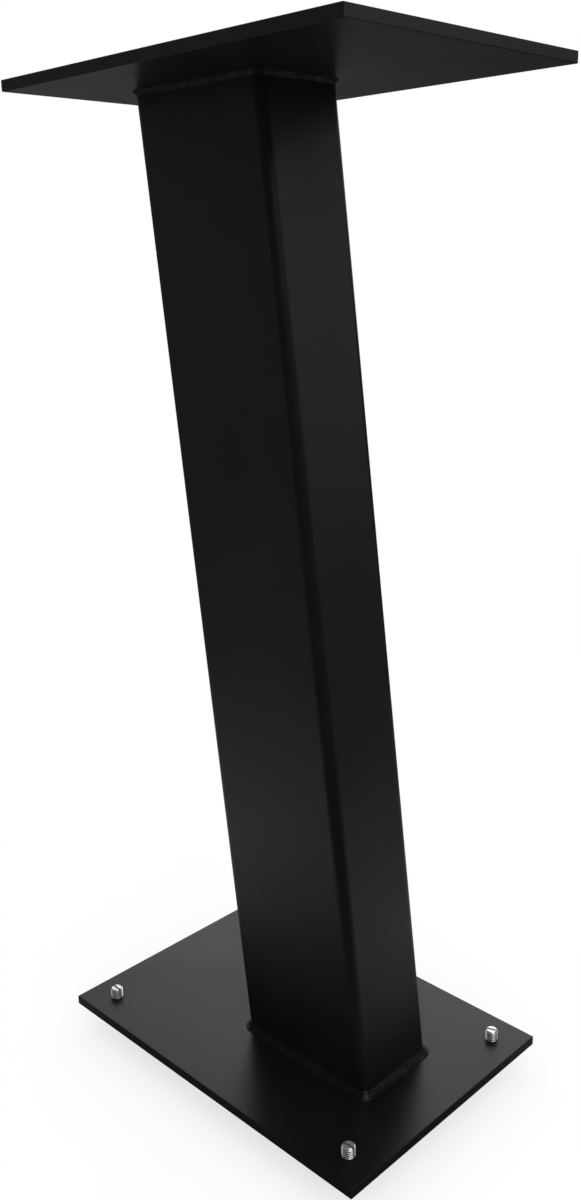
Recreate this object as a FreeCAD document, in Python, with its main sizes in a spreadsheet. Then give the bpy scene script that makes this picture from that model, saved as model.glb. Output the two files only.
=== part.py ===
# Welded steel speaker stand: a base plate and a top plate joined by one leaning
# box-section column, standing on four slotted levelling spikes.
# Millimetres, +Z up, +X to the right, +Y to the back. The origin is on the floor,
# under the middle of the base plate, at the level of the spikes' points.

import FreeCAD, Part
import math
import os
import Sketcher

doc = FreeCAD.newDocument("SpeakerStand")
vector = FreeCAD.Vector

# Driving sizes: name, millimetres (or degrees for a turn), what it measures.
sizes = [
    ("plateWidth", 175.0, "both plates, left to right"),
    ("plateDepth", 250.0, "both plates, front to back"),
    ("plateThickness", 6.0, "both plates"),
    ("plateEdgeRound", 0.5, "rounding of the plates' edges"),
    ("columnRise", 570.0, "clear height between the two plates"),
    ("columnWidth", 60.0, "tube, left to right"),
    ("columnDepth", 100.0, "tube, front to back, square to its own length"),
    ("columnWall", 3.0, "tube wall"),
    ("columnCorner", 6.0, "outer corner radius of the tube"),
    ("footForward", 34.0, "column's foot ahead of the plates' middle"),
    ("headBack", 34.0, "column's head behind the plates' middle"),
    ("baseWeldLeg", 4.0, "leg of the fillet weld at the foot"),
    ("topWeldLeg", 3.0, "leg of the fillet weld at the head"),
    ("weldToe", 0.3, "thickness of the bead where it fades out on the tube"),
    ("spikeInsetSide", 19.0, "spike's axis in from the plate's side edge"),
    ("spikeInsetEnd", 19.0, "spike's axis in from the plate's front or back edge"),
    ("spikeDiameter", 8.0, "M8 thread, outside"),
    ("spikeClearance", 0.05, "radial play of the spike in its threads"),
    ("spikeDrop", 18.0, "point of the spike below the base plate"),
    ("spikeStub", 6.0, "slotted end of the spike above the base plate"),
    ("spikeCone", 9.0, "height of the ground point"),
    ("spikePointRadius", 0.4, "blunt end of the point"),
    ("spikeTopChamfer", 1.0, "chamfer round the slotted end"),
    ("slotWidth", 1.4, "screwdriver slot"),
    ("slotDepth", 5.5, "screwdriver slot"),
    ("slotTurnFrontLeft", 3.0, "degrees that this slot is turned from front to back"),
    ("slotTurnFrontRight", 22.0, "degrees, as above"),
    ("slotTurnBackLeft", -4.0, "degrees, as above"),
    ("slotTurnBackRight", 40.0, "degrees, as above"),
    ("holeChamfer", 0.4, "lead-in of the tapped holes on the plate's top face"),
    ("nutFlats", 13.0, "jam nut across flats"),
    ("nutThickness", 4.0, "jam nut"),
    ("nutChamferAngle", 30.0, "degrees, chamfer of the nut's corners"),
]

sheet = doc.addObject("Spreadsheet::Sheet", "Dimensions")
for row, (alias, value, note) in enumerate(sizes, start=1):
    sheet.set(f"A{row}", alias)
    sheet.set(f"B{row}", str(value))
    sheet.set(f"C{row}", note)
    sheet.setAlias(f"B{row}", alias)
doc.recompute()


def size(alias):
    return f"Dimensions.{alias}"


# Sizes that follow from the driving ones, written as expressions.
columnRun = f"({size('footForward')} + {size('headBack')})"
leanSlope = f"({columnRun} / {size('columnRise')})"
leanFactor = f"sqrt(1 + {leanSlope} ^ 2)"
sectionDepth = f"({size('columnDepth')} * {leanFactor})"
boreWidth = f"({size('columnWidth')} - 2 * {size('columnWall')})"
boreDepth = f"(({size('columnDepth')} - 2 * {size('columnWall')}) * {leanFactor})"
leastCorner = 0.5  # a thick wall leaves the bore's corners at least this radius
boreCorner = f"max({size('columnCorner')} - {size('columnWall')}; {leastCorner})"
spikeX = f"({size('plateWidth')} / 2 - {size('spikeInsetSide')})"
spikeY = f"({size('plateDepth')} / 2 - {size('spikeInsetEnd')})"
spikeRadius = f"({size('spikeDiameter')} / 2)"
holeRadius = f"({spikeRadius} + {size('spikeClearance')})"
spikeLength = (
    f"({size('spikeDrop')} + {size('plateThickness')} + {size('spikeStub')})"
)
baseTop = f"({size('spikeDrop')} + {size('plateThickness')})"
topUnderside = f"({baseTop} + {size('columnRise')})"

# The four corners of the base: side along X, side along Y, turn of the slot.
corners = {
    "front_left": (-1, -1, "slotTurnFrontLeft"),
    "front_right": (1, -1, "slotTurnFrontRight"),
    "back_left": (-1, 1, "slotTurnBackLeft"),
    "back_right": (1, 1, "slotTurnBackRight"),
}


def valueOf(expression):
    # Today's value of an expression, used to start a sketch close to its answer.
    return float(sheet.evalExpression(expression.replace("Dimensions.", "")))


def newBody(label):
    body = doc.addObject("PartDesign::Body", "Body_" + label)
    body.Label = label
    return body


def place(body, x="0", y="0", z="0"):
    body.setExpression("Placement.Base.x", x)
    body.setExpression("Placement.Base.y", y)
    body.setExpression("Placement.Base.z", z)


def newSketch(body, name, plane="XY_Plane"):
    sketch = body.newObject("Sketcher::SketchObject", f"{name}_{body.Label}")
    support = next(item for item in body.Origin.OriginFeatures if item.Role == plane)
    sketch.AttachmentSupport = [(support, "")]
    sketch.MapMode = "FlatFace"
    return sketch


def constrain(sketch, kind, where, expression):
    # One dimension of a sketch, driven by an expression.
    constraint = Sketcher.Constraint(kind, *where, valueOf(expression))
    index = sketch.addConstraint(constraint)
    sketch.setExpression(f"Constraints[{index}]", expression)


def addPolygon(sketch, points):
    # A closed outline of straight lines through corners given by expressions.
    first = sketch.GeometryCount
    places = [vector(valueOf(x), valueOf(y), 0) for x, y in points]
    for start, end in zip(places, places[1:] + places[:1]):
        sketch.addGeometry(Part.LineSegment(start, end))
    for index, (x, y) in enumerate(points):
        line = first + index
        following = first + (index + 1) % len(points)
        sketch.addConstraint(Sketcher.Constraint("Coincident", line, 2, following, 1))
        constrain(sketch, "DistanceX", (-1, 1, line, 1), x)
        constrain(sketch, "DistanceY", (-1, 1, line, 1), y)


def addRectangle(sketch, width, low, high):
    # A rectangle centred across the vertical axis, between two heights.
    left = f"-({width}) / 2"
    right = f"({width}) / 2"
    addPolygon(sketch, [(left, low), (right, low), (right, high), (left, high)])


def addCircle(sketch, x, y, radius):
    centre = vector(valueOf(x), valueOf(y), 0)
    circle = Part.Circle(centre, vector(0, 0, 1), valueOf(radius))
    index = sketch.addGeometry(circle)
    constrain(sketch, "DistanceX", (-1, 1, index, 3), x)
    constrain(sketch, "DistanceY", (-1, 1, index, 3), y)
    constrain(sketch, "Radius", (index,), radius)


def addRoundedRectangle(sketch, width, depth, radius, shift="0"):
    # Four sides and four corner arcs, counter-clockwise from the front side, with
    # the middle moved to the back by the shift.
    first = sketch.GeometryCount
    w = valueOf(width) / 2
    d = valueOf(depth) / 2
    r = valueOf(radius)
    middle = valueOf(shift)
    quarter = math.pi / 2
    sides = [
        ((r - w, -d), (w - r, -d)),
        ((w, r - d), (w, d - r)),
        ((w - r, d), (r - w, d)),
        ((-w, d - r), (-w, r - d)),
    ]
    centres = [(w - r, r - d), (w - r, d - r), (r - w, d - r), (r - w, r - d)]
    for index, ((start, end), centre) in enumerate(zip(sides, centres)):
        a, b, c = (vector(x, y + middle, 0) for x, y in (start, end, centre))
        sketch.addGeometry(Part.LineSegment(a, b))
        circle = Part.Circle(c, vector(0, 0, 1), r)
        begin = (index - 1) * quarter
        sketch.addGeometry(Part.ArcOfCircle(circle, begin, begin + quarter))
    for index in range(8):
        following = first + (index + 1) % 8
        sketch.addConstraint(
            Sketcher.Constraint("Tangent", first + index, 2, following, 1)
        )
    front, right, back, left = (first + 2 * index for index in range(4))
    for kind, side in (
        ("Horizontal", front),
        ("Vertical", right),
        ("Horizontal", back),
        ("Vertical", left),
    ):
        sketch.addConstraint(Sketcher.Constraint(kind, side))
    for arc in (3, 5, 7):
        sketch.addConstraint(Sketcher.Constraint("Equal", first + 1, first + arc))
    constrain(sketch, "Radius", (first + 1,), radius)
    constrain(sketch, "DistanceX", (-1, 1, right, 1), f"({width}) / 2")
    constrain(sketch, "DistanceX", (-1, 1, left, 1), f"-({width}) / 2")
    constrain(sketch, "DistanceY", (-1, 1, front, 1), f"{shift} - ({depth}) / 2")
    constrain(sketch, "DistanceY", (-1, 1, back, 1), f"{shift} + ({depth}) / 2")


def edgesWhere(shape, test):
    return [f"Edge{n}" for n, edge in enumerate(shape.Edges, start=1) if test(edge)]


def isStraight(edge):
    return edge.Curve.TypeId == "Part::GeomLine"


def dress(body, kind, base, edges, dimension, expression):
    # A fillet or chamfer on chosen edges of the feature before it.
    feature = body.newObject(f"PartDesign::{kind}", f"{kind}_{body.Label}")
    feature.Base = (base, edges)
    feature.setExpression(dimension, expression)
    doc.recompute()
    return feature


def pad(body, sketch, length):
    feature = body.newObject("PartDesign::Pad", f"Pad_{body.Label}")
    feature.Profile = sketch
    feature.setExpression("Length", length)
    return feature


def pocket(body, sketch, name, length, upward=False, bothWays=False):
    # A cut, down from the sketch unless it goes upward or both ways.
    feature = body.newObject("PartDesign::Pocket", f"{name}_{body.Label}")
    feature.Profile = sketch
    feature.Reversed = upward
    feature.Midplane = bothWays
    feature.setExpression("Length", length)
    return feature


def lean(feature):
    # The feature follows the column: back by the run for every rise.
    feature.UseCustomVector = True
    feature.AlongSketchNormal = True
    feature.Direction = vector(0, valueOf(columnRun), valueOf(size("columnRise")))
    feature.setExpression("Direction.y", columnRun)
    feature.setExpression("Direction.z", size("columnRise"))


def flatPlate(label, height):
    # A rectangle of plate, centred on the stand's upright axis.
    body = newBody(label)
    outline = newSketch(body, "Outline")
    halfDepth = f"{size('plateDepth')} / 2"
    addRectangle(outline, size("plateWidth"), f"-{halfDepth}", halfDepth)
    pad(body, outline, size("plateThickness"))
    place(body, z=height)
    doc.recompute()
    return body


def roundPlateEdges(body):
    edges = edgesWhere(body.Tip.Shape, isStraight)
    dress(body, "Fillet", body.Tip, edges, "Radius", size("plateEdgeRound"))


def basePlate():
    # Four tapped holes take the spikes, each with a small lead-in on top.
    body = flatPlate("base_plate", size("spikeDrop"))
    drilling = newSketch(body, "Drilling")
    for alongX, alongY, _ in corners.values():
        addCircle(drilling, f"{alongX} * {spikeX}", f"{alongY} * {spikeY}", holeRadius)
    pocket(body, drilling, "TappedHoles", size("plateThickness"), upward=True)
    doc.recompute()
    middle = valueOf(size("plateThickness")) / 2

    def isUpperRim(edge):
        return not isStraight(edge) and edge.CenterOfMass.z > middle

    rims = edgesWhere(body.Tip.Shape, isUpperRim)
    dress(body, "Chamfer", body.Tip, rims, "Size", size("holeChamfer"))
    roundPlateEdges(body)


def topPlate():
    body = flatPlate("top_plate", topUnderside)
    roundPlateEdges(body)


def column():
    # Rectangular tube with its ends cut level, so that it leans to the back. The
    # level section is a little deeper than the tube, by the slope of the lean.
    body = newBody("column")
    section = newSketch(body, "Section")
    addRoundedRectangle(
        section, size("columnWidth"), sectionDepth, size("columnCorner")
    )
    addRoundedRectangle(section, boreWidth, boreDepth, boreCorner)
    lean(pad(body, section, size("columnRise")))
    place(body, y=f"-{size('footForward')}", z=baseTop)


def weldRun(end, side, turn, leg):
    # One run of fillet weld along one side of the tube, mitred at the corners. The
    # bead is a full collar that the tube is cut from, trimmed to its own side. It
    # is drawn for the foot, and turned over about the X axis for the head.
    body = newBody(f"{end}_weld_{side}")
    wide = f"({size('columnWidth')} + 2 * {leg})"
    deep = f"({sectionDepth} + 2 * {leg})"
    lower = newSketch(body, "LowerToe")
    addRoundedRectangle(lower, wide, deep, f"({size('columnCorner')} + {leg})")
    upper = newSketch(body, "UpperToe")
    toe = size("weldToe")
    addRoundedRectangle(
        upper,
        f"({size('columnWidth')} + 2 * {toe})",
        f"({sectionDepth} + 2 * {toe})",
        f"({size('columnCorner')} + {toe})",
        f"{leg} * {leanSlope}",
    )
    upper.setExpression("AttachmentOffset.Base.z", leg)
    collar = body.newObject("PartDesign::AdditiveLoft", f"Collar_{body.Label}")
    collar.Profile = lower
    collar.Sections = [upper]
    collar.Ruled = True

    tube = newSketch(body, "Tube")
    addRoundedRectangle(tube, size("columnWidth"), sectionDepth, size("columnCorner"))
    doc.recompute()
    lean(pocket(body, tube, "TubeCut", leg))
    doc.recompute()

    # The mitres run out at 45 degrees from the centres of the corner arcs, and
    # everything on the far side of them is taken off.
    along = size("columnWidth")
    across = sectionDepth
    if side in ("left", "right"):
        along, across = across, along
    a = f"({along} / 2 - {size('columnCorner')})"
    b = f"({across} / 2 - {size('columnCorner')})"
    reach = f"(2 * {size('columnCorner')} + 2 * {leg})"
    trim = newSketch(body, "OwnSide")
    trim.AttachmentOffset = FreeCAD.Placement(
        vector(0, 0, 0), FreeCAD.Rotation(vector(0, 0, 1), turn)
    )
    addPolygon(
        trim,
        [
            (f"-{a}", f"-{b}"),
            (f"-{a} - {reach}", f"-{b} - {reach}"),
            (f"-{a} - {reach}", f"{b} + {reach}"),
            (f"{a} + {reach}", f"{b} + {reach}"),
            (f"{a} + {reach}", f"-{b} - {reach}"),
            (a, f"-{b}"),
        ],
    )
    pocket(body, trim, "OwnSideCut", f"4 * {leg}", bothWays=True)

    if end == "base":
        place(body, y=f"-{size('footForward')}", z=baseTop)
    else:
        body.Placement = FreeCAD.Placement(
            vector(0, 0, 0), FreeCAD.Rotation(vector(1, 0, 0), 180)
        )
        place(body, y=size("headBack"), z=topUnderside)


def spike(corner, alongX, alongY, slotTurn):
    # Threaded pin with a ground point below and a screwdriver slot on top.
    body = newBody(f"spike_{corner}")
    profile = newSketch(body, "Profile", "XZ_Plane")
    chamfer = size("spikeTopChamfer")
    addPolygon(
        profile,
        [
            ("0", "0"),
            (size("spikePointRadius"), "0"),
            (spikeRadius, size("spikeCone")),
            (spikeRadius, f"{spikeLength} - {chamfer}"),
            (f"{spikeRadius} - {chamfer}", spikeLength),
            ("0", spikeLength),
        ],
    )
    turned = body.newObject("PartDesign::Revolution", f"Turned_{body.Label}")
    turned.Profile = profile
    turned.ReferenceAxis = (profile, ["V_Axis"])
    turned.Angle = 360
    doc.recompute()

    cut = newSketch(body, "Slot", "XZ_Plane")
    depth = size("slotDepth")
    addRectangle(
        cut, size("slotWidth"), f"{spikeLength} - {depth}", f"{spikeLength} + {depth}"
    )
    pocket(body, cut, "SlotCut", f"2 * {size('spikeDiameter')}", bothWays=True)
    body.Placement.Rotation = FreeCAD.Rotation(vector(0, 0, 1), 1)
    body.setExpression("Placement.Rotation.Angle", size(slotTurn))
    place(body, f"{alongX} * {spikeX}", f"{alongY} * {spikeY}")


def jamNut(corner, alongX, alongY):
    # Thin hexagon nut, run up the spike against the underside of the base plate.
    body = newBody(f"jam_nut_{corner}")
    thickness = size("nutThickness")
    flat = f"({size('nutFlats')} / 2)"
    halfSide = f"({flat} * tan(30 deg))"
    tip = f"({flat} / cos(30 deg))"
    hexagon = newSketch(body, "Hexagon")
    addPolygon(
        hexagon,
        [
            (tip, "0"),
            (halfSide, flat),
            (f"-{halfSide}", flat),
            (f"-{tip}", "0"),
            (f"-{halfSide}", f"-{flat}"),
            (halfSide, f"-{flat}"),
        ],
    )
    addCircle(hexagon, "0", "0", holeRadius)
    pad(body, hexagon, thickness)
    doc.recompute()

    # The chamfer starts at the flats' circle on both faces and falls away outwards.
    outside = f"({tip} + 1)"
    fall = f"(({outside} - {flat}) * tan({size('nutChamferAngle')} * 1 deg))"
    bevel = newSketch(body, "Bevel", "XZ_Plane")
    addPolygon(bevel, [(flat, "0"), (outside, "0"), (outside, fall)])
    addPolygon(
        bevel,
        [(flat, thickness), (outside, f"{thickness} - {fall}"), (outside, thickness)],
    )
    groove = body.newObject("PartDesign::Groove", f"Groove_{body.Label}")
    groove.Profile = bevel
    groove.ReferenceAxis = (bevel, ["V_Axis"])
    groove.Angle = 360
    place(
        body,
        f"{alongX} * {spikeX}",
        f"{alongY} * {spikeY}",
        f"{size('spikeDrop')} - {thickness}",
    )


basePlate()
topPlate()
column()
for side, turn in (("front", 0), ("right", 90), ("back", 180), ("left", 270)):
    weldRun("base", side, turn, size("baseWeldLeg"))
for side, turn in (("back", 0), ("right", 90), ("front", 180), ("left", 270)):
    weldRun("top", side, turn, size("topWeldLeg"))
for corner, (alongX, alongY, slotTurn) in corners.items():
    spike(corner, alongX, alongY, slotTurn)
    jamNut(corner, alongX, alongY)
doc.recompute()

bodies = [item for item in doc.Objects if item.TypeId == "PartDesign::Body"]
for item in doc.Objects:
    faults = [state for state in item.State if state in ("Invalid", "Error")]
    if faults:
        raise RuntimeError(f"{item.Label}: {faults}")
for body in bodies:
    if body.Shape.isNull() or not body.Shape.isValid() or len(body.Shape.Solids) != 1:
        raise RuntimeError(f"{body.Label} isn't one valid solid")

os.makedirs("parts", exist_ok=True)
for body in bodies:
    body.Shape.exportStep(f"parts/{body.Label}.step")
    print(f"{body.Label:24s} {body.Shape.Volume:12.1f} mm3")
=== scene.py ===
import math

import bmesh
import bpy
from mathutils import Matrix, Vector, noise


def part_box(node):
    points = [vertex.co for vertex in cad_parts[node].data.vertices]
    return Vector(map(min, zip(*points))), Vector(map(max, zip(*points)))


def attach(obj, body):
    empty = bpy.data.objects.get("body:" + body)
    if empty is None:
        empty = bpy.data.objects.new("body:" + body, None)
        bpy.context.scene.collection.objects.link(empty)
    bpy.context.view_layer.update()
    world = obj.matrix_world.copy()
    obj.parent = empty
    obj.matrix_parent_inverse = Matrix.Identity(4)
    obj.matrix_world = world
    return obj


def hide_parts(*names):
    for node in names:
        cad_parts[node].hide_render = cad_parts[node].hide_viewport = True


# Welded steel speaker stand in satin black powder coat, on four threaded steel spikes.
# Metres, +Z up, +X to the right, +Y to the back. Plates, column and jam nuts are the
# construction's own shapes with a finish put on them, and the weld beads and the
# spikes are modelled here, where those pieces stand.

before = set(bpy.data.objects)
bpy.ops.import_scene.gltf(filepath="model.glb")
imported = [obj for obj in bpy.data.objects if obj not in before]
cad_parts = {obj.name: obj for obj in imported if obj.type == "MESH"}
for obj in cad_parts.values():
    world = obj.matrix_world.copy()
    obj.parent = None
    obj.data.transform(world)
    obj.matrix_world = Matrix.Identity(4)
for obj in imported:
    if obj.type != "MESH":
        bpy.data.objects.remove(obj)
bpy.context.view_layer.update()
scene = bpy.context.scene
mm = 0.001
mergeGap = 0.001 * mm
corners = ["front_left", "front_right", "back_left", "back_right"]
print("frame loaded:", len(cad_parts), "nodes")


def linkedObject(name, mesh):
    obj = bpy.data.objects.new(name, mesh)
    scene.collection.objects.link(obj)
    return obj


def meshFrom(bm, name):
    mesh = bpy.data.meshes.new(name)
    bm.to_mesh(mesh)
    bm.free()
    return mesh


def closedAndOutward(bm):
    bmesh.ops.remove_doubles(bm, verts=bm.verts, dist=mergeGap)
    bmesh.ops.recalc_face_normals(bm, faces=bm.faces)


def smoothBelow(bm, degrees):
    # smooth faces, with an edge kept sharp where it turns by more than this
    limit = math.radians(degrees)
    for face in bm.faces:
        face.smooth = True
    for edge in bm.edges:
        edge.smooth = edge.calc_face_angle(math.pi) < limit


def booleaned(mesh, other, operation):
    # the mesh that an exact boolean with the other mesh leaves
    base = linkedObject("boolean_base", mesh)
    tool = linkedObject("boolean_tool", other)
    modifier = base.modifiers.new("boolean", "BOOLEAN")
    modifier.solver = "EXACT"
    modifier.operation = operation
    modifier.object = tool
    shown = base.evaluated_get(bpy.context.evaluated_depsgraph_get())
    result = bpy.data.meshes.new_from_object(shown)
    bpy.data.objects.remove(base)
    bpy.data.objects.remove(tool)
    return result


def materialWith(name):
    material = bpy.data.materials.new(name)
    material.use_nodes = True
    tree = material.node_tree
    return material, tree, tree.nodes["Principled BSDF"]


def addNode(tree, kind, **values):
    # a node with its sockets set by name (spaces written as underscores)
    node = tree.nodes.new("ShaderNode" + kind)
    for key, value in values.items():
        node.inputs[key.replace("_", " ")].default_value = value
    return node


def objectNoise(tree, size, detail=2.0, roughness=0.5, stretch=(1, 1, 1)):
    # noise whose grain is about this size in metres, on the piece's own coordinates
    coordinates = addNode(tree, "TexCoord")
    mapping = addNode(tree, "Mapping", Scale=[1 / (size * part) for part in stretch])
    texture = addNode(tree, "TexNoise", Scale=1.0, Detail=detail, Roughness=roughness)
    tree.links.new(coordinates.outputs["Object"], mapping.inputs["Vector"])
    tree.links.new(mapping.outputs["Vector"], texture.inputs["Vector"])
    return texture.outputs["Fac"]


def remapped(tree, value, low, high, fromLow=0.3, fromHigh=0.7, ease="LINEAR"):
    node = tree.nodes.new("ShaderNodeMapRange")
    node.interpolation_type = ease
    node.inputs["From Min"].default_value = fromLow
    node.inputs["From Max"].default_value = fromHigh
    node.inputs["To Min"].default_value = low
    node.inputs["To Max"].default_value = high
    tree.links.new(value, node.inputs["Value"])
    return node.outputs["Result"]


def mixed(tree, factor, first, second):
    # colour between two, each a colour or a socket
    node = tree.nodes.new("ShaderNodeMix")
    node.data_type = "RGBA"
    tree.links.new(factor, node.inputs["Factor"])
    sockets = [s for s in node.inputs if s.type == "RGBA"]
    for socket, colour in zip(sockets, (first, second)):
        if isinstance(colour, tuple):
            socket.default_value = (*colour, 1)
        else:
            tree.links.new(colour, socket)
    return next(s for s in node.outputs if s.type == "RGBA")


def bumped(tree, height, distance, before=None):
    node = addNode(tree, "Bump", Distance=distance)
    tree.links.new(height, node.inputs["Height"])
    if before:
        tree.links.new(before, node.inputs["Normal"])
    return node.outputs["Normal"]


def combined(tree, first, second, operation="ADD"):
    node = tree.nodes.new("ShaderNodeMath")
    node.operation = operation
    tree.links.new(first, node.inputs[0])
    tree.links.new(second, node.inputs[1])
    return node.outputs[0]


def blended(tree, factor, first, second):
    # shader between two, the second at a factor of 1
    node = tree.nodes.new("ShaderNodeMixShader")
    tree.links.new(factor, node.inputs[0])
    tree.links.new(first.outputs[0], node.inputs[1])
    tree.links.new(second.outputs[0], node.inputs[2])
    return node


coatLook = {
    "film": (0.0024, 0.0024, 0.0025),
    "thinFilm": (0.0040, 0.0040, 0.0042),
    "peelSize": 2.2 * mm,  # orange peel, from swell to swell
    "peelHeight": 0.018 * mm,
    "grainSize": 0.35 * mm,  # fine grit of the cured powder
    "grainHeight": 0.0035 * mm,
    "cloudSize": 45 * mm,  # where the film cured a little glossier or flatter
    "handlingSize": 9 * mm,
    "dustSize": 1.1 * mm,
    "dustFrom": 0.78,  # how much of the noise is dust, and how far it covers the film
    "dustTo": 0.9,
    "dustCover": 0.5,
    "dust": (0.05, 0.05, 0.05),
    "ior": 1.5,
}


def powderCoat(name, roughness, spread, peel=1.0, specular=0.5):
    look = coatLook
    material, tree, shader = materialWith(name)
    cloud = objectNoise(tree, look["cloudSize"], 3)
    handling = objectNoise(tree, look["handlingSize"], 4, 0.6)
    rough = combined(
        tree,
        remapped(tree, cloud, roughness - spread, roughness + spread),
        remapped(tree, handling, -spread / 3, spread / 3),
    )
    film = mixed(tree, remapped(tree, cloud, 0, 1), look["film"], look["thinFilm"])
    specks = objectNoise(tree, look["dustSize"], 1)
    dust = remapped(tree, specks, 0, look["dustCover"], look["dustFrom"], look["dustTo"])
    tree.links.new(mixed(tree, dust, film, look["dust"]), shader.inputs["Base Color"])
    tree.links.new(rough, shader.inputs["Roughness"])
    swell = objectNoise(tree, look["peelSize"], 1.5)
    grain = objectNoise(tree, look["grainSize"], 1)
    normal = bumped(tree, swell, look["peelHeight"] * peel)
    normal = bumped(tree, grain, look["grainHeight"], normal)
    tree.links.new(normal, shader.inputs["Normal"])
    shader.inputs["IOR"].default_value = look["ior"]
    shader.inputs["Specular IOR Level"].default_value = specular
    return material


plateCoat = powderCoat("plate_coat", roughness=0.32, spread=0.03)
columnCoat = powderCoat("column_coat", roughness=0.35, spread=0.04)
weldCoat = powderCoat("weld_coat", roughness=0.35, spread=0.05, peel=1.1, specular=0.28)
for nodeName, coat in (("base_plate", plateCoat), ("top_plate", plateCoat), ("column", columnCoat)):
    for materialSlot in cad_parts[nodeName].material_slots:
        materialSlot.material = coat
print("powder coat on the plates and the column")


steelLook = {
    "crest": (0.84, 0.83, 0.81),
    # root: darker steel for the thread roots, painted shade in the hollows
    "root": (0.50, 0.49, 0.48),
    "turningPitch": 0.09 * mm,  # tool marks round the turned faces
    "turningHeight": 0.006 * mm,
    "turningGloss": (0.13, 0.24),  # roughness between tool marks and on them
    "smearSize": 1.5 * mm,
    "smearGloss": 0.08,
    "metallic": 0.86,  # the rest is dull oxide
    "zinc": (0.56, 0.57, 0.58),
    "zincShadow": (0.43, 0.44, 0.46),
    "spangleSize": 1.6 * mm,
    "spangleGloss": (0.28, 0.42),
    "pressedSize": 0.4 * mm,
    "pressedHeight": 0.004 * mm,
}


def spikeSteel():
    look = steelLook
    material, tree, shader = materialWith("spike_steel")
    depth = tree.nodes.new("ShaderNodeAttribute")
    depth.attribute_name = "thread_root_shade"
    # steel darkened towards the thread roots: painted shade
    steel = mixed(tree, depth.outputs["Fac"], look["crest"], look["root"])
    tree.links.new(steel, shader.inputs["Base Color"])
    marks = objectNoise(tree, look["turningPitch"], 2, 0.5, (30, 30, 1))
    smears = objectNoise(tree, look["smearSize"], 3)
    rough = combined(
        tree,
        remapped(tree, marks, *look["turningGloss"]),
        remapped(tree, smears, 0, look["smearGloss"]),
    )
    tree.links.new(rough, shader.inputs["Roughness"])
    tree.links.new(bumped(tree, marks, look["turningHeight"]), shader.inputs["Normal"])
    shader.inputs["Metallic"].default_value = look["metallic"]
    return material


def nutSteel():
    look = steelLook
    material, tree, shader = materialWith("nut_steel")
    spangle = objectNoise(tree, look["spangleSize"], 4, 0.6)
    zinc = mixed(tree, remapped(tree, spangle, 0, 1), look["zinc"], look["zincShadow"])
    tree.links.new(zinc, shader.inputs["Base Color"])
    tree.links.new(remapped(tree, spangle, *look["spangleGloss"]), shader.inputs["Roughness"])
    pressed = objectNoise(tree, look["pressedSize"], 2)
    tree.links.new(bumped(tree, pressed, look["pressedHeight"]), shader.inputs["Normal"])
    shader.inputs["Metallic"].default_value = 1
    return material


boltSteel = spikeSteel()
nutZinc = nutSteel()
for corner in corners:
    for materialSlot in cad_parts["jam_nut_" + corner].material_slots:
        materialSlot.material = nutZinc
print("steel on the spikes and the nuts")


spikeSize = {
    "pitch": 1.25 * mm,
    "crestRadius": 3.98 * mm,
    "rootRadius": 3.25 * mm,
    "coneHeight": 9 * mm,
    "pointRadius": 0.4 * mm,
    "topChamfer": 1.0 * mm,
    "slotWidth": 1.4 * mm,
    "slotDepth": 5.5 * mm,
    "slotReach": 12 * mm,  # length of the cutter, past both sides
    "lip": 0.12,  # rounding at crest and root, as a share of the thread's depth
    "steps": 56,  # round the thread
    "envelopeGap": 0.05 * mm,
    "envelopeSteps": 72,
    "sharpAngle": 40,
    "turns": {"front_left": 5, "front_right": 22, "back_left": -3, "back_right": 40},  # degrees
}


def threadedRod(low, high):
    # one outline of every thread, spun once round while it climbs by one pitch
    size = spikeSize
    pitch, crest, root = size["pitch"], size["crestRadius"], size["rootRadius"]
    lip = (crest - root) * size["lip"]
    onePitch = [
        (0.00, root),
        (0.20, root),
        (0.26, root + lip),
        (0.54, crest - lip),
        (0.60, crest),
        (0.68, crest),
        (0.74, crest - lip),
        (0.94, root + lip),
    ]
    bm = bmesh.new()
    previous = None
    edges = []
    for index in range(int((high - low) / pitch) + 3):
        for share, radius in onePitch:
            point = bm.verts.new((radius, 0, low + (index - 1 + share) * pitch))
            if previous:
                edges.append(bm.edges.new((previous, point)))
            previous = point
    bmesh.ops.spin(
        bm, geom=list(bm.verts) + edges, cent=(0, 0, 0), axis=(0, 0, 1), angle=2 * math.pi,
        dvec=(0, 0, pitch / size["steps"]), steps=size["steps"], use_merge=False,
    )
    bmesh.ops.remove_doubles(bm, verts=bm.verts, dist=2 * mergeGap)
    for height, outward in ((low, -1), (high, 1)):
        bmesh.ops.bisect_plane(
            bm, geom=list(bm.verts) + list(bm.edges) + list(bm.faces),
            plane_co=(0, 0, height), plane_no=(0, 0, outward), clear_outer=True,
        )
    bmesh.ops.holes_fill(bm, edges=[e for e in bm.edges if e.is_boundary], sides=0)
    closedAndOutward(bm)
    return meshFrom(bm, "threaded_rod")


def spikeEnvelope(length):
    # what the ground point and the chamfered end leave of the rod
    size = spikeSize
    clear = size["crestRadius"] + size["envelopeGap"]
    chamfer = size["topChamfer"]
    outline = [
        (0, 0),
        (size["pointRadius"], 0),
        (clear, size["coneHeight"]),
        (clear, length - chamfer),
        (clear - chamfer, length),
        (0, length),
    ]
    bm = bmesh.new()
    points = [bm.verts.new((radius, 0, height)) for radius, height in outline]
    edges = [bm.edges.new(pair) for pair in zip(points, points[1:])]
    bmesh.ops.spin(
        bm, geom=points + edges, cent=(0, 0, 0), axis=(0, 0, 1), angle=2 * math.pi,
        dvec=(0, 0, 0), steps=size["envelopeSteps"], use_merge=True,
    )
    closedAndOutward(bm)
    return meshFrom(bm, "spike_envelope")


def slotCutter(length):
    size = spikeSize
    bm = bmesh.new()
    bmesh.ops.create_cube(bm, size=1)
    block = (size["slotWidth"], size["slotReach"], 2 * size["slotDepth"])
    bmesh.ops.scale(bm, verts=bm.verts, vec=block)
    bmesh.ops.translate(bm, verts=bm.verts, vec=(0, 0, length))
    return meshFrom(bm, "slot_cutter")


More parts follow.
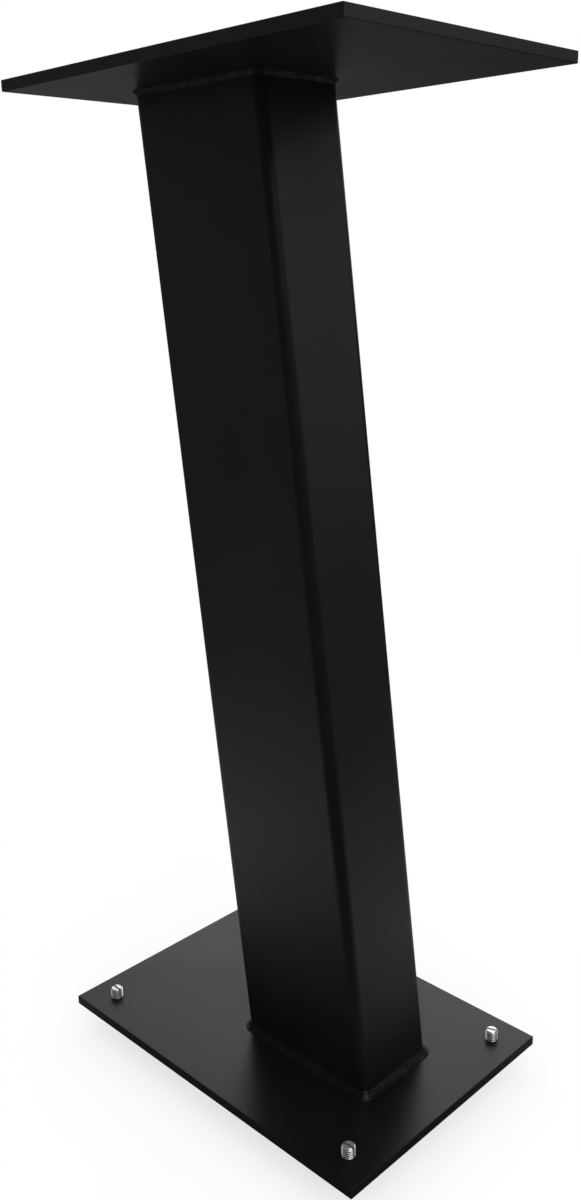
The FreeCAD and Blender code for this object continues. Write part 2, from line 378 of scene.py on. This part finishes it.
def markThreadDepth(mesh):
    # 0 on the crests and 1 in the roots, which darkens the steel towards the roots: painted shade in
    # the thread's hollows
    size = spikeSize
    depth = size["crestRadius"] - size["rootRadius"]
    threadTop = max(vertex.co.z for vertex in mesh.vertices) - size["topChamfer"]
    attribute = mesh.attributes.new("thread_root_shade", "FLOAT", "POINT")
    for vertex, value in zip(mesh.vertices, attribute.data):
        share = (size["crestRadius"] - vertex.co.xy.length) / depth
        onThread = size["coneHeight"] < vertex.co.z < threadTop
        value.value = min(max(share, 0), 1) if onThread else 0


spikeLow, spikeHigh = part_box("spike_front_left")
spikeLength = spikeHigh.z - spikeLow.z
rod = threadedRod(-0.5 * mm, spikeLength + 0.5 * mm)
spikeMesh = booleaned(rod, spikeEnvelope(spikeLength), "INTERSECT")
spikeMesh = booleaned(spikeMesh, slotCutter(spikeLength), "DIFFERENCE")
bm = bmesh.new()
bm.from_mesh(spikeMesh)
closedAndOutward(bm)
smoothBelow(bm, spikeSize["sharpAngle"])
bm.to_mesh(spikeMesh)
bm.free()
markThreadDepth(spikeMesh)
spikeMesh.materials.clear()
spikeMesh.materials.append(boltSteel)
for corner in corners:
    low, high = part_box("spike_" + corner)
    mesh = spikeMesh.copy()
    middle = (low + high) / 2
    turn = Matrix.Rotation(math.radians(spikeSize["turns"][corner]), 4, "Z")
    mesh.transform(Matrix.Translation((middle.x, middle.y, low.z)) @ turn)
    piece = linkedObject("threaded_spike_" + corner, mesh)
    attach(piece, "spike_" + corner)
    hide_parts("spike_" + corner)
print("spikes threaded:", len(spikeMesh.polygons), "faces each")


weldSize = {
    "tubeHalfWidth": 30 * mm,
    "tubeHalfDepth": 50.354 * mm,  # level section of the leaning tube
    "tubeCorner": 6 * mm,
    "footForward": 34 * mm,
    "headBack": 34 * mm,
    "baseLeg": 3.6 * mm,
    "topLeg": 2.5 * mm,
    "baseCrown": -0.19,  # swell past a straight fillet, or hollow of it, as a share of the leg
    "topCrown": 0.02,
    "ringGap": 0.22 * mm,
    "ripplePitch": 2.1 * mm,
    "rippleHeight": 0.035,  # this and the next as shares of the leg
    "wander": 0.25,  # uneven travel of the torch
    "wanderLength": 5.5 * mm,
    "rippleBow": 1.6,  # bend of a ripple: its ends are off by a quarter of this, in ripples
    "rippleDrift": 0.35,  # uneven spacing, in ripples
    "driftLength": 4 * mm,
    "baseStop": 0.10,  # where two runs meet at a corner
    "topStop": -0.12,
    "stopLength": 3.2 * mm,
    "sunk": 0.25 * mm,  # hidden part, inside plate and tube
    "profileSteps": 9,
    "sharpAngle": 60,
    "seedStep": 3.7,  # keeps the noise of any two runs apart
    "topSeed": 20,
}
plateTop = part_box("base_plate")[1].z
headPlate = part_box("top_plate")[0].z
leanSlope = (weldSize["footForward"] + weldSize["headBack"]) / (headPlate - plateTop)


def beadProfile(leg, crown):
    # offset from the tube, height over the plate, and how far each point may ripple
    size = weldSize
    points = [(-size["sunk"], -size["sunk"]), (leg, -size["sunk"])]
    for step in range(size["profileSteps"] + 1):
        share = step / size["profileSteps"]
        swell = leg * crown * math.sin(math.pi * share)
        angle = share * math.pi / 2
        offset = leg * (1 - share) + swell * math.cos(angle)
        points.append((offset, leg * share + swell * math.sin(angle)))
    points.append((-size["sunk"], leg))
    return points


def sweepBead(leg, crown, along, across):
    # front side of the tube: half a corner, the straight, half a corner
    size = weldSize
    radius = size["tubeCorner"]
    a, b = along - radius, across - radius
    bm = bmesh.new()
    diagonal = Vector((-1, -1, 0)).normalized()
    ring = []
    for offset, height in beadProfile(leg, crown):
        ring.append(bm.verts.new(Vector((-a, -b, height)) + diagonal * (radius + offset)))
    edges = [bm.edges.new(pair) for pair in zip(ring, ring[1:] + ring[:1])]
    steps = max(3, round((radius + leg) * math.pi / 4 / size["ringGap"]))
    turned = bmesh.ops.spin(
        bm, geom=ring + edges, cent=(-a, -b, 0), axis=(0, 0, 1), angle=math.pi / 4,
        dvec=(0, 0, 0), steps=steps, use_merge=False,
    )
    count = round(2 * a / size["ringGap"])
    run = bmesh.ops.spin(
        bm, geom=turned["geom_last"], cent=(0, 0, 0), axis=(0, 0, 1), angle=0,
        dvec=(2 * a / count, 0, 0), steps=count, use_merge=False,
    )
    bmesh.ops.spin(
        bm, geom=run["geom_last"], cent=(a, -b, 0), axis=(0, 0, 1), angle=math.pi / 4,
        dvec=(0, 0, 0), steps=steps, use_merge=False,
    )
    bmesh.ops.holes_fill(bm, edges=[e for e in bm.edges if e.is_boundary], sides=0)
    return bm, a, b


def rippleBead(bm, leg, stop, a, b, seed):
    size = weldSize
    radius = size["tubeCorner"]
    reach = a + (radius + leg / 2) * math.pi / 4
    for vert in bm.verts:
        x, y, height = vert.co
        side = max(-a, min(a, x))
        arm = Vector((x - side, y + b, 0))
        offset = arm.length - radius
        outward = arm.normalized()
        if height < 0 or offset < 0:
            continue
        angle = math.atan2(abs(outward.x), -outward.y)
        travel = side + math.copysign(angle * (radius + leg / 2), x)
        share = math.atan2(max(height, 0), max(offset, 1e-6)) / (math.pi / 2)
        fromEnd = max(reach - abs(travel), 0)
        inner = 1 - math.exp(-((fromEnd / size["stopLength"]) ** 2))
        place = Vector((travel / size["wanderLength"], seed, share * 0.6))
        wander = size["wander"] * leg * noise.noise(place)
        phase = travel / size["ripplePitch"] + size["rippleBow"] * (share - 0.5) ** 2
        drift = Vector((travel / size["driftLength"], seed + 5, 0))
        phase += size["rippleDrift"] * noise.noise(drift)
        ripple = size["rippleHeight"] * leg * (abs(math.cos(math.pi * phase)) - 0.5)
        middle = math.sin(math.pi * share)
        move = (wander * (0.5 + 0.5 * middle) + ripple * middle) * inner
        move += stop * leg * (1 - inner) * (0.3 + 0.7 * middle)
        turn = share * math.pi / 2
        vert.co += (outward * math.cos(turn) + Vector((0, 0, math.sin(turn)))) * move


def weldRun(end, side, quarter, seed):
    size = weldSize
    leg = size[end + "Leg"]
    along, across = size["tubeHalfWidth"], size["tubeHalfDepth"]
    if quarter % 2:
        along, across = across, along
    bm, a, b = sweepBead(leg, size[end + "Crown"], along, across)
    rippleBead(bm, leg, size[end + "Stop"], a, b, seed)
    matrix = Matrix.Rotation(quarter * math.pi / 2, 4, "Z")
    lean = Matrix.Identity(4)
    lean[1][2] = leanSlope  # the bead leans with the tube
    matrix = lean @ matrix
    if end == "base":
        matrix = Matrix.Translation((0, -size["footForward"], plateTop)) @ matrix
    else:
        flip = Matrix.Rotation(math.pi, 4, "X")
        matrix = Matrix.Translation((0, size["headBack"], headPlate)) @ flip @ matrix
    bmesh.ops.transform(bm, matrix=matrix, verts=bm.verts)
    closedAndOutward(bm)
    smoothBelow(bm, size["sharpAngle"])
    mesh = meshFrom(bm, f"{end}_bead_{side}")
    mesh.materials.append(weldCoat)
    piece = linkedObject(f"{end}_bead_{side}", mesh)
    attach(piece, "frame")
    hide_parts(f"{end}_weld_{side}")
    return len(mesh.polygons)


faces = 0
for quarter, side in enumerate(("front", "right", "back", "left")):
    faces += weldRun("base", side, quarter, weldSize["seedStep"] * quarter)
for quarter, side in enumerate(("back", "right", "front", "left")):
    seed = weldSize["topSeed"] + weldSize["seedStep"] * quarter
    faces += weldRun("top", side, quarter, seed)
print("weld beads:", faces, "faces")


stageLook = {
    "floorRadius": 3.0,
    "fadeFrom": 0.55,
    "fadeTo": 1.3,
    "pale": (0.97, 0.97, 0.97),
    "selfLit": 0.7,  # share of the floor's white that no shadow takes away
    # shade, falloff and nearSide paint shade into the floor's colour for every ray but the camera's:
    # darker close to the stand, further out, and on the camera's side
    "shade": (0.07, 0.42, 0.15, 0.29),  # floor to any ray but the camera's: darker close in
    "falloff": (1, 0.42, 0.32, 0.62),  # and dimmer again further out
    "nearSide": (0.15, 1, -0.27, -0.05),  # and dimmed on the camera's side of the stand
    "nearTurn": 225,  # which way that side lies, in degrees round from +X
    "ambient": 1.0,
    "room": 0.03,  # what gloss sees of the dim room
    "fields": [  # degrees round from +X, degrees up, degrees of reach, glow
        (36, 26.5, 33, 1.36),  # the backdrop behind the stand
        (60, -8, 26, 0.09),
        (84, 24, 25, 0.55),
        (5, 24, 26, 0.72),
        (135, 2, 40, 0.08),
        (313, 12, 22, 0.45),
        (225, 50, 34, 0.16),
    ],
}


def studioFloor():
    look = stageLook
    bm = bmesh.new()
    bmesh.ops.create_circle(bm, cap_ends=True, segments=96, radius=look["floorRadius"])
    floor = linkedObject("floor", meshFrom(bm, "floor"))
    material, tree, shader = materialWith("floor_paper")
    tree.nodes.remove(shader)
    output = next(node for node in tree.nodes if node.type == "OUTPUT_MATERIAL")
    path = tree.nodes.new("ShaderNodeLightPath")
    coordinates = tree.nodes.new("ShaderNodeTexCoord")
    distance = tree.nodes.new("ShaderNodeVectorMath")
    distance.operation = "LENGTH"
    tree.links.new(coordinates.outputs["Object"], distance.inputs[0])
    # floor colour for every ray but the camera's, with painted shade close in, far out and on the
    # camera's side
    paintedShadeGrey = combined(
        tree,
        remapped(tree, distance.outputs["Value"], *look["shade"]),
        remapped(tree, distance.outputs["Value"], *look["falloff"]),
        "MULTIPLY",
    )
    turn = math.radians(look["nearTurn"])
    side = tree.nodes.new("ShaderNodeVectorMath")
    side.operation = "DOT_PRODUCT"
    side.inputs[1].default_value = (-math.cos(turn), -math.sin(turn), 0)
    tree.links.new(coordinates.outputs["Object"], side.inputs[0])
    paintedShadeGrey = combined(tree, paintedShadeGrey, remapped(tree, side.outputs["Value"], *look["nearSide"]), "MULTIPLY")
    colour = mixed(tree, path.outputs["Is Camera Ray"], paintedShadeGrey, look["pale"])
    paper = tree.nodes.new("ShaderNodeBsdfDiffuse")
    tree.links.new(colour, paper.inputs["Color"])
    white = addNode(tree, "Emission", Strength=1.0)
    selfLit = remapped(tree, path.outputs["Is Camera Ray"], 0, look["selfLit"], 0, 1)
    lit = blended(tree, selfLit, paper, white)
    clear = tree.nodes.new("ShaderNodeBsdfTransparent")
    fade = remapped(tree, distance.outputs["Value"], 0, 1, look["fadeFrom"], look["fadeTo"])
    tree.links.new(blended(tree, fade, lit, clear).outputs[0], output.inputs["Surface"])
    floor.data.materials.append(material)


def studioWorld():
    # white behind all that the camera sees; gloss sees a dim room with a bright backdrop
    # on the stand's far side and weaker fields of light round it
    look = stageLook
    world = bpy.data.worlds.new("studio")
    scene.world = world
    world.use_nodes = True
    tree = world.node_tree
    background = tree.nodes["Background"]
    path = tree.nodes.new("ShaderNodeLightPath")
    direction = tree.nodes.new("ShaderNodeTexCoord")
    glow = None
    for turn, height, reach, strength in look["fields"]:
        turn, height, reach = (math.radians(angle) for angle in (turn, height, reach))
        facing = tree.nodes.new("ShaderNodeVectorMath")
        facing.operation = "DOT_PRODUCT"
        level = math.cos(height)
        toward = (level * math.cos(turn), level * math.sin(turn), math.sin(height))
        facing.inputs[1].default_value = toward
        tree.links.new(direction.outputs["Generated"], facing.inputs[0])
        low = 0 if glow else look["room"]
        field = remapped(
            tree, facing.outputs["Value"], low, low + strength, math.cos(reach), 1, "SMOOTHSTEP"
        )
        glow = combined(tree, glow, field) if glow else field
    ambient = tree.nodes.new("ShaderNodeMix")
    ambient.inputs["A"].default_value = look["ambient"]
    tree.links.new(path.outputs["Is Glossy Ray"], ambient.inputs["Factor"])
    tree.links.new(glow, ambient.inputs["B"])
    seen = combined(tree, path.outputs["Is Camera Ray"], path.outputs["Is Transmission Ray"], "MAXIMUM")
    strength = tree.nodes.new("ShaderNodeMix")
    strength.inputs["B"].default_value = 1.0
    tree.links.new(seen, strength.inputs["Factor"])
    tree.links.new(ambient.outputs["Result"], strength.inputs["A"])
    tree.links.new(strength.outputs["Result"], background.inputs["Strength"])
    background.inputs["Color"].default_value = (1, 1, 1, 1)


keyLamp = {
    "place": (-0.17, -1.40, 1.95),
    "target": (0, 0, 0.25),
    "size": (1.6, 1.9),
    "watts": 12,
}


def studioLamp():
    look = keyLamp
    data = bpy.data.lights.new("key", "AREA")
    data.shape = "RECTANGLE"
    data.size, data.size_y = look["size"]
    data.energy = look["watts"]
    lamp = linkedObject("key", data)
    lamp.location = look["place"]
    toward = Vector(look["target"]) - Vector(look["place"])
    lamp.rotation_euler = toward.to_track_quat("-Z", "Y").to_euler()


cameraSet = {
    "place": (-0.45766, -0.45797, 0.50028),
    "turn": (73.66, 1.175, -45.404),
    "lens": 34.23,
    "sensor": 36,
}


def studioCamera():
    look = cameraSet
    data = bpy.data.cameras.new("camera")
    data.lens = look["lens"]
    data.sensor_width = look["sensor"]
    camera = linkedObject("camera", data)
    camera.location = look["place"]
    camera.rotation_euler = [math.radians(value) for value in look["turn"]]
    scene.camera = camera


studioFloor()
studioWorld()
studioLamp()
studioCamera()
scene.view_settings.view_transform = "Standard"
print("floor, light and camera set")
